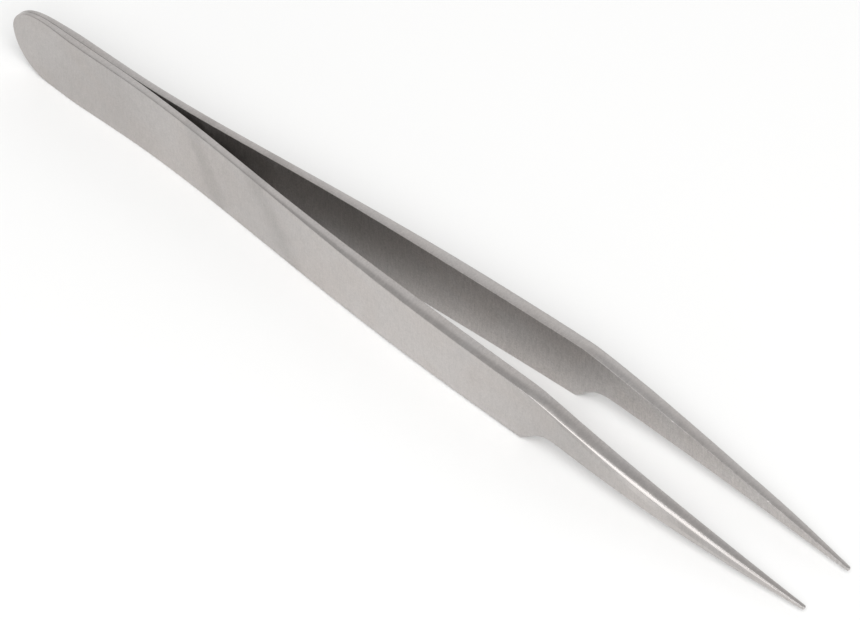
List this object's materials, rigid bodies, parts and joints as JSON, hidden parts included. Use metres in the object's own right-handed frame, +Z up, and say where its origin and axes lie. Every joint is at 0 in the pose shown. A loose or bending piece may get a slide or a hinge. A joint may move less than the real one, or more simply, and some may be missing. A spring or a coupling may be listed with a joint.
{
  "type": "precision tweezers",
  "caption": "Fine-pointed straight tweezers: sprung steel arms welded at the rear bow apart and squeeze shut so that their slender tips meet on a small part.",
  "frame": {"origin": "middle of the overall length, midway between the two arms, at the level of the lower long edges on which the tweezers stand", "axes": "+X from the welded rear end to the tips, +Y towards the left arm (the arms open and close along Y), +Z up across the height of the arms"},
  "size_m": [0.12, 0.011, 0.0093],
  "materials": {
    "arm_steel": "satin, fine blasted grain with polished arrises near the tips",
    "weld_metal": "dull fused steel, hidden between the arms"
  },
  "bodies": {
    "tail": {"left_arm_tail": "arm_steel", "right_arm_tail": "arm_steel", "weld_nuggets": "weld_metal"},
    "left_arm": {"left_arm_blade": "arm_steel"},
    "right_arm": {"right_arm_blade": "arm_steel"}
  },
  "joints": [
    {"name": "left_arm_flex", "type": "hinge", "parent": "tail", "child": "left_arm", "pos_m": [-0.0295, 0.00107, 0.0045], "axis": [0, 0, -1], "range_deg": [0, 2.19], "stiffness_Nm_per_rad": 2},
    {"name": "right_arm_flex", "type": "hinge", "parent": "tail", "child": "right_arm", "pos_m": [-0.0295, -0.00107, 0.0045], "axis": [0, 0, 1], "range_deg": [0, 2.19], "stiffness_Nm_per_rad": 2}
  ],
  "couplings": [
    {"joint": "right_arm_flex", "follows": "left_arm_flex", "ratio": 1}
  ]
}
